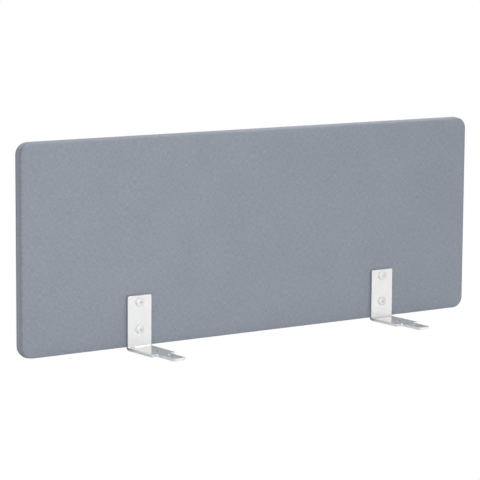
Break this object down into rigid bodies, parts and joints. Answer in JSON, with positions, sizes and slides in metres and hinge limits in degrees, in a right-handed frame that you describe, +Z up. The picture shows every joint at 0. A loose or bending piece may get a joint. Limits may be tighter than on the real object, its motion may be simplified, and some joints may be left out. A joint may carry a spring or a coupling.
{
  "type": "desk privacy panel",
  "caption": "Low fabric-covered desk privacy panel with rounded corners, held up by two L-shaped metal brackets whose slotted feet fasten to a desktop.",
  "frame": {"origin": "middle of the footprint, on the plane of the undersides of the two feet", "axes": "+X along the panel to the right as seen from the feet's side, +Y from the feet to the panel, +Z up"},
  "size_m": [0.8, 0.126, 0.304],
  "materials": {
    "fabric": "matt woven grey-blue upholstery",
    "padding": "thin soft foam",
    "board": "raw fibreboard",
    "bracket_metal": "satin silver",
    "screw_metal": "satin zinc",
    "insert_brass": "machined"
  },
  "bodies": {
    "root": {"front_fabric": "fabric", "back_fabric": "fabric", "front_padding": "padding", "back_padding": "padding", "core_board": "board", "left_bracket": "bracket_metal", "right_bracket": "bracket_metal", "left_upper_screw": "screw_metal", "left_upper_insert": "insert_brass", "left_lower_screw": "screw_metal", "left_lower_insert": "insert_brass", "right_upper_screw": "screw_metal", "right_upper_insert": "insert_brass", "right_lower_screw": "screw_metal", "right_lower_insert": "insert_brass"}
  },
  "joints": []
}
